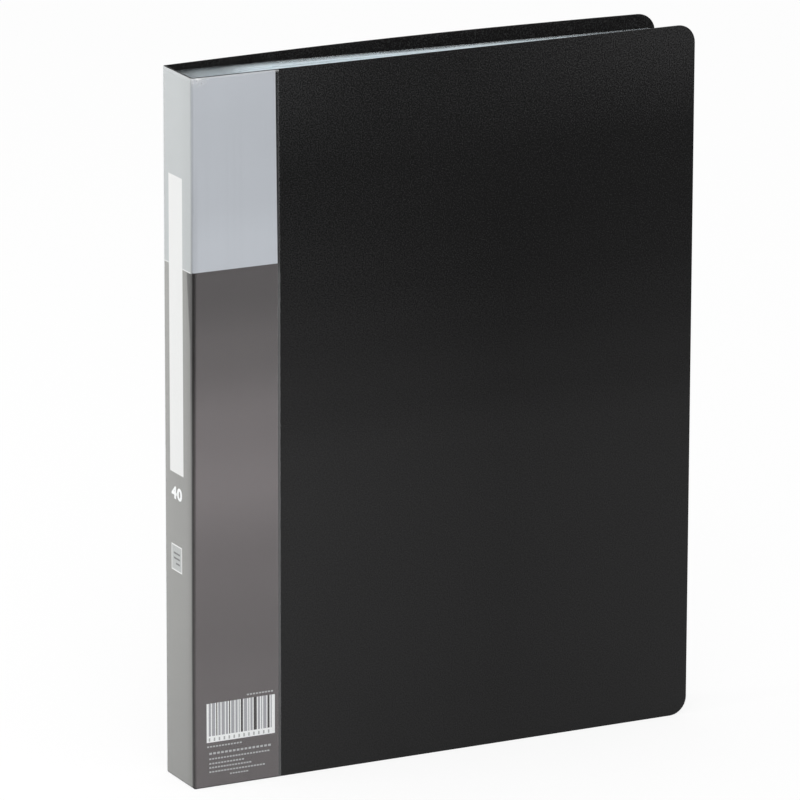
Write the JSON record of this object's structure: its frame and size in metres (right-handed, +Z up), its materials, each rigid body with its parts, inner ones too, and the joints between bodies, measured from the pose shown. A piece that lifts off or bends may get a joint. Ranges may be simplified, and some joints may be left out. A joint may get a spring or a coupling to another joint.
{
  "type": "display book",
  "caption": "Clear-pocket display book for A4 papers: dark creased cover that opens at the spine, clear sleeve with a printed card, and thin pockets that fan out.",
  "frame": {"origin": "middle of the closed book's footprint, on the surface it stands on", "axes": "+X from the spine to the fore-edge, +Y from the front cover to the back cover, +Z up along the spine"},
  "size_m": [0.239, 0.0338, 0.31],
  "materials": {
    "cover": "fine-grained matt dark grey plastic sheet",
    "binding": "matt black plastic",
    "sleeve": "clear glossy film",
    "card": "printed card, silver above and dark grey below, with a satin coat",
    "pocket": "clear film with a slight haze"
  },
  "bodies": {
    "spine": {"spine_panel": "cover", "front_crease": "cover", "back_crease": "cover", "binding_strip": "binding", "sleeve_spine": "sleeve", "sleeve_corner": "sleeve", "sleeve_back_corner": "sleeve", "card_spine": "card", "card_corner": "card", "card_back_corner": "card"},
    "front_cover": {"front_cover": "cover", "sleeve_front": "sleeve", "card_front": "card"},
    "back_cover": {"back_cover": "cover"},
    "pocket_01": {"pocket_01": "pocket"},
    "pocket_02": {"pocket_02": "pocket"},
    "pocket_03": {"pocket_03": "pocket"},
    "pocket_04": {"pocket_04": "pocket"},
    "pocket_05": {"pocket_05": "pocket"},
    "pocket_06": {"pocket_06": "pocket"},
    "pocket_07": {"pocket_07": "pocket"},
    "pocket_08": {"pocket_08": "pocket"},
    "pocket_09": {"pocket_09": "pocket"},
    "pocket_10": {"pocket_10": "pocket"},
    "pocket_11": {"pocket_11": "pocket"},
    "pocket_12": {"pocket_12": "pocket"},
    "pocket_13": {"pocket_13": "pocket"},
    "pocket_14": {"pocket_14": "pocket"},
    "pocket_15": {"pocket_15": "pocket"},
    "pocket_16": {"pocket_16": "pocket"},
    "pocket_17": {"pocket_17": "pocket"},
    "pocket_18": {"pocket_18": "pocket"},
    "pocket_19": {"pocket_19": "pocket"},
    "pocket_20": {"pocket_20": "pocket"},
    "pocket_21": {"pocket_21": "pocket"},
    "pocket_22": {"pocket_22": "pocket"},
    "pocket_23": {"pocket_23": "pocket"},
    "pocket_24": {"pocket_24": "pocket"},
    "pocket_25": {"pocket_25": "pocket"},
    "pocket_26": {"pocket_26": "pocket"},
    "pocket_27": {"pocket_27": "pocket"},
    "pocket_28": {"pocket_28": "pocket"},
    "pocket_29": {"pocket_29": "pocket"},
    "pocket_30": {"pocket_30": "pocket"},
    "pocket_31": {"pocket_31": "pocket"},
    "pocket_32": {"pocket_32": "pocket"},
    "pocket_33": {"pocket_33": "pocket"},
    "pocket_34": {"pocket_34": "pocket"},
    "pocket_35": {"pocket_35": "pocket"},
    "pocket_36": {"pocket_36": "pocket"},
    "pocket_37": {"pocket_37": "pocket"},
    "pocket_38": {"pocket_38": "pocket"},
    "pocket_39": {"pocket_39": "pocket"},
    "pocket_40": {"pocket_40": "pocket"}
  },
  "joints": [
    {"name": "front_cover_open", "type": "hinge", "parent": "spine", "child": "front_cover", "pos_m": [-0.1186, -0.01595, 0], "axis": [0, 0, -1], "range_deg": [0, 180], "deforming": ["sleeve_corner", "card_corner"]},
    {"name": "back_cover_open", "type": "hinge", "parent": "spine", "child": "back_cover", "pos_m": [-0.1186, 0.01105, 0], "axis": [0, 0, 1], "range_deg": [0, 180], "deforming": ["sleeve_back_corner", "card_back_corner"]},
    {"name": "pocket_01_turn", "type": "hinge", "parent": "spine", "child": "pocket_01", "pos_m": [-0.11725, -0.01395, 0], "axis": [0, 0, -1], "range_deg": [0, 72]},
    {"name": "pocket_02_turn", "type": "hinge", "parent": "spine", "child": "pocket_02", "pos_m": [-0.11725, -0.01336, 0], "axis": [0, 0, -1], "range_deg": [0, 68.4]},
    {"name": "pocket_03_turn", "type": "hinge", "parent": "spine", "child": "pocket_03", "pos_m": [-0.11725, -0.01277, 0], "axis": [0, 0, -1], "range_deg": [0, 64.8]},
    {"name": "pocket_04_turn", "type": "hinge", "parent": "spine", "child": "pocket_04", "pos_m": [-0.11725, -0.01218, 0], "axis": [0, 0, -1], "range_deg": [0, 61.2]},
    {"name": "pocket_05_turn", "type": "hinge", "parent": "spine", "child": "pocket_05", "pos_m": [-0.11725, -0.01159, 0], "axis": [0, 0, -1], "range_deg": [0, 57.6]},
    {"name": "pocket_06_turn", "type": "hinge", "parent": "spine", "child": "pocket_06", "pos_m": [-0.11725, -0.011, 0], "axis": [0, 0, -1], "range_deg": [0, 54]},
    {"name": "pocket_07_turn", "type": "hinge", "parent": "spine", "child": "pocket_07", "pos_m": [-0.11725, -0.01041, 0], "axis": [0, 0, -1], "range_deg": [0, 50.4]},
    {"name": "pocket_08_turn", "type": "hinge", "parent": "spine", "child": "pocket_08", "pos_m": [-0.11725, -0.00982, 0], "axis": [0, 0, -1], "range_deg": [0, 46.8]},
    {"name": "pocket_09_turn", "type": "hinge", "parent": "spine", "child": "pocket_09", "pos_m": [-0.11725, -0.00923, 0], "axis": [0, 0, -1], "range_deg": [0, 43.2]},
    {"name": "pocket_10_turn", "type": "hinge", "parent": "spine", "child": "pocket_10", "pos_m": [-0.11725, -0.00864, 0], "axis": [0, 0, -1], "range_deg": [0, 39.6]},
    {"name": "pocket_11_turn", "type": "hinge", "parent": "spine", "child": "pocket_11", "pos_m": [-0.11725, -0.00805, 0], "axis": [0, 0, -1], "range_deg": [0, 36]},
    {"name": "pocket_12_turn", "type": "hinge", "parent": "spine", "child": "pocket_12", "pos_m": [-0.11725, -0.00746, 0], "axis": [0, 0, -1], "range_deg": [0, 32.4]},
    {"name": "pocket_13_turn", "type": "hinge", "parent": "spine", "child": "pocket_13", "pos_m": [-0.11725, -0.00687, 0], "axis": [0, 0, -1], "range_deg": [0, 28.8]},
    {"name": "pocket_14_turn", "type": "hinge", "parent": "spine", "child": "pocket_14", "pos_m": [-0.11725, -0.00628, 0], "axis": [0, 0, -1], "range_deg": [0, 25.2]},
    {"name": "pocket_15_turn", "type": "hinge", "parent": "spine", "child": "pocket_15", "pos_m": [-0.11725, -0.00569, 0], "axis": [0, 0, -1], "range_deg": [0, 21.6]},
    {"name": "pocket_16_turn", "type": "hinge", "parent": "spine", "child": "pocket_16", "pos_m": [-0.11725, -0.0051, 0], "axis": [0, 0, -1], "range_deg": [0, 18]},
    {"name": "pocket_17_turn", "type": "hinge", "parent": "spine", "child": "pocket_17", "pos_m": [-0.11725, -0.00451, 0], "axis": [0, 0, -1], "range_deg": [0, 14.4]},
    {"name": "pocket_18_turn", "type": "hinge", "parent": "spine", "child": "pocket_18", "pos_m": [-0.11725, -0.00392, 0], "axis": [0, 0, -1], "range_deg": [0, 10.8]},
    {"name": "pocket_19_turn", "type": "hinge", "parent": "spine", "child": "pocket_19", "pos_m": [-0.11725, -0.00333, 0], "axis": [0, 0, -1], "range_deg": [0, 7.2]},
    {"name": "pocket_20_turn", "type": "hinge", "parent": "spine", "child": "pocket_20", "pos_m": [-0.11725, -0.00274, 0], "axis": [0, 0, -1], "range_deg": [0, 3.6]},
    {"name": "pocket_21_turn", "type": "hinge", "parent": "spine", "child": "pocket_21", "pos_m": [-0.11725, -0.00216, 0], "axis": [0, 0, 1], "range_deg": [0, 3.6]},
    {"name": "pocket_22_turn", "type": "hinge", "parent": "spine", "child": "pocket_22", "pos_m": [-0.11725, -0.00157, 0], "axis": [0, 0, 1], "range_deg": [0, 7.2]},
    {"name": "pocket_23_turn", "type": "hinge", "parent": "spine", "child": "pocket_23", "pos_m": [-0.11725, -0.00098, 0], "axis": [0, 0, 1], "range_deg": [0, 10.8]},
    {"name": "pocket_24_turn", "type": "hinge", "parent": "spine", "child": "pocket_24", "pos_m": [-0.11725, -0.00039, 0], "axis": [0, 0, 1], "range_deg": [0, 14.4]},
    {"name": "pocket_25_turn", "type": "hinge", "parent": "spine", "child": "pocket_25", "pos_m": [-0.11725, 0.0002, 0], "axis": [0, 0, 1], "range_deg": [0, 18]},
    {"name": "pocket_26_turn", "type": "hinge", "parent": "spine", "child": "pocket_26", "pos_m": [-0.11725, 0.00079, 0], "axis": [0, 0, 1], "range_deg": [0, 21.6]},
    {"name": "pocket_27_turn", "type": "hinge", "parent": "spine", "child": "pocket_27", "pos_m": [-0.11725, 0.00138, 0], "axis": [0, 0, 1], "range_deg": [0, 25.2]},
    {"name": "pocket_28_turn", "type": "hinge", "parent": "spine", "child": "pocket_28", "pos_m": [-0.11725, 0.00197, 0], "axis": [0, 0, 1], "range_deg": [0, 28.8]},
    {"name": "pocket_29_turn", "type": "hinge", "parent": "spine", "child": "pocket_29", "pos_m": [-0.11725, 0.00256, 0], "axis": [0, 0, 1], "range_deg": [0, 32.4]},
    {"name": "pocket_30_turn", "type": "hinge", "parent": "spine", "child": "pocket_30", "pos_m": [-0.11725, 0.00315, 0], "axis": [0, 0, 1], "range_deg": [0, 36]},
    {"name": "pocket_31_turn", "type": "hinge", "parent": "spine", "child": "pocket_31", "pos_m": [-0.11725, 0.00374, 0], "axis": [0, 0, 1], "range_deg": [0, 39.6]},
    {"name": "pocket_32_turn", "type": "hinge", "parent": "spine", "child": "pocket_32", "pos_m": [-0.11725, 0.00433, 0], "axis": [0, 0, 1], "range_deg": [0, 43.2]},
    {"name": "pocket_33_turn", "type": "hinge", "parent": "spine", "child": "pocket_33", "pos_m": [-0.11725, 0.00492, 0], "axis": [0, 0, 1], "range_deg": [0, 46.8]},
    {"name": "pocket_34_turn", "type": "hinge", "parent": "spine", "child": "pocket_34", "pos_m": [-0.11725, 0.00551, 0], "axis": [0, 0, 1], "range_deg": [0, 50.4]},
    {"name": "pocket_35_turn", "type": "hinge", "parent": "spine", "child": "pocket_35", "pos_m": [-0.11725, 0.0061, 0], "axis": [0, 0, 1], "range_deg": [0, 54]},
    {"name": "pocket_36_turn", "type": "hinge", "parent": "spine", "child": "pocket_36", "pos_m": [-0.11725, 0.00669, 0], "axis": [0, 0, 1], "range_deg": [0, 57.6]},
    {"name": "pocket_37_turn", "type": "hinge", "parent": "spine", "child": "pocket_37", "pos_m": [-0.11725, 0.00728, 0], "axis": [0, 0, 1], "range_deg": [0, 61.2]},
    {"name": "pocket_38_turn", "type": "hinge", "parent": "spine", "child": "pocket_38", "pos_m": [-0.11725, 0.00787, 0], "axis": [0, 0, 1], "range_deg": [0, 64.8]},
    {"name": "pocket_39_turn", "type": "hinge", "parent": "spine", "child": "pocket_39", "pos_m": [-0.11725, 0.00846, 0], "axis": [0, 0, 1], "range_deg": [0, 68.4]},
    {"name": "pocket_40_turn", "type": "hinge", "parent": "spine", "child": "pocket_40", "pos_m": [-0.11725, 0.00905, 0], "axis": [0, 0, 1], "range_deg": [0, 72]}
  ],
  "couplings": [
    {"joint": "pocket_01_turn", "follows": "front_cover_open", "ratio": 0.4},
    {"joint": "pocket_02_turn", "follows": "front_cover_open", "ratio": 0.38},
    {"joint": "pocket_03_turn", "follows": "front_cover_open", "ratio": 0.36},
    {"joint": "pocket_04_turn", "follows": "front_cover_open", "ratio": 0.34},
    {"joint": "pocket_05_turn", "follows": "front_cover_open", "ratio": 0.32},
    {"joint": "pocket_06_turn", "follows": "front_cover_open", "ratio": 0.3},
    {"joint": "pocket_07_turn", "follows": "front_cover_open", "ratio": 0.28},
    {"joint": "pocket_08_turn", "follows": "front_cover_open", "ratio": 0.26},
    {"joint": "pocket_09_turn", "follows": "front_cover_open", "ratio": 0.24},
    {"joint": "pocket_10_turn", "follows": "front_cover_open", "ratio": 0.22},
    {"joint": "pocket_11_turn", "follows": "front_cover_open", "ratio": 0.2},
    {"joint": "pocket_12_turn", "follows": "front_cover_open", "ratio": 0.18},
    {"joint": "pocket_13_turn", "follows": "front_cover_open", "ratio": 0.16},
    {"joint": "pocket_14_turn", "follows": "front_cover_open", "ratio": 0.14},
    {"joint": "pocket_15_turn", "follows": "front_cover_open", "ratio": 0.12},
    {"joint": "pocket_16_turn", "follows": "front_cover_open", "ratio": 0.1},
    {"joint": "pocket_17_turn", "follows": "front_cover_open", "ratio": 0.08},
    {"joint": "pocket_18_turn", "follows": "front_cover_open", "ratio": 0.06},
    {"joint": "pocket_19_turn", "follows": "front_cover_open", "ratio": 0.04},
    {"joint": "pocket_20_turn", "follows": "front_cover_open", "ratio": 0.02},
    {"joint": "pocket_21_turn", "follows": "back_cover_open", "ratio": 0.02},
    {"joint": "pocket_22_turn", "follows": "back_cover_open", "ratio": 0.04},
    {"joint": "pocket_23_turn", "follows": "back_cover_open", "ratio": 0.06},
    {"joint": "pocket_24_turn", "follows": "back_cover_open", "ratio": 0.08},
    {"joint": "pocket_25_turn", "follows": "back_cover_open", "ratio": 0.1},
    {"joint": "pocket_26_turn", "follows": "back_cover_open", "ratio": 0.12},
    {"joint": "pocket_27_turn", "follows": "back_cover_open", "ratio": 0.14},
    {"joint": "pocket_28_turn", "follows": "back_cover_open", "ratio": 0.16},
    {"joint": "pocket_29_turn", "follows": "back_cover_open", "ratio": 0.18},
    {"joint": "pocket_30_turn", "follows": "back_cover_open", "ratio": 0.2},
    {"joint": "pocket_31_turn", "follows": "back_cover_open", "ratio": 0.22},
    {"joint": "pocket_32_turn", "follows": "back_cover_open", "ratio": 0.24},
    {"joint": "pocket_33_turn", "follows": "back_cover_open", "ratio": 0.26},
    {"joint": "pocket_34_turn", "follows": "back_cover_open", "ratio": 0.28},
    {"joint": "pocket_35_turn", "follows": "back_cover_open", "ratio": 0.3},
    {"joint": "pocket_36_turn", "follows": "back_cover_open", "ratio": 0.32},
    {"joint": "pocket_37_turn", "follows": "back_cover_open", "ratio": 0.34},
    {"joint": "pocket_38_turn", "follows": "back_cover_open", "ratio": 0.36},
    {"joint": "pocket_39_turn", "follows": "back_cover_open", "ratio": 0.38},
    {"joint": "pocket_40_turn", "follows": "back_cover_open", "ratio": 0.4}
  ]
}
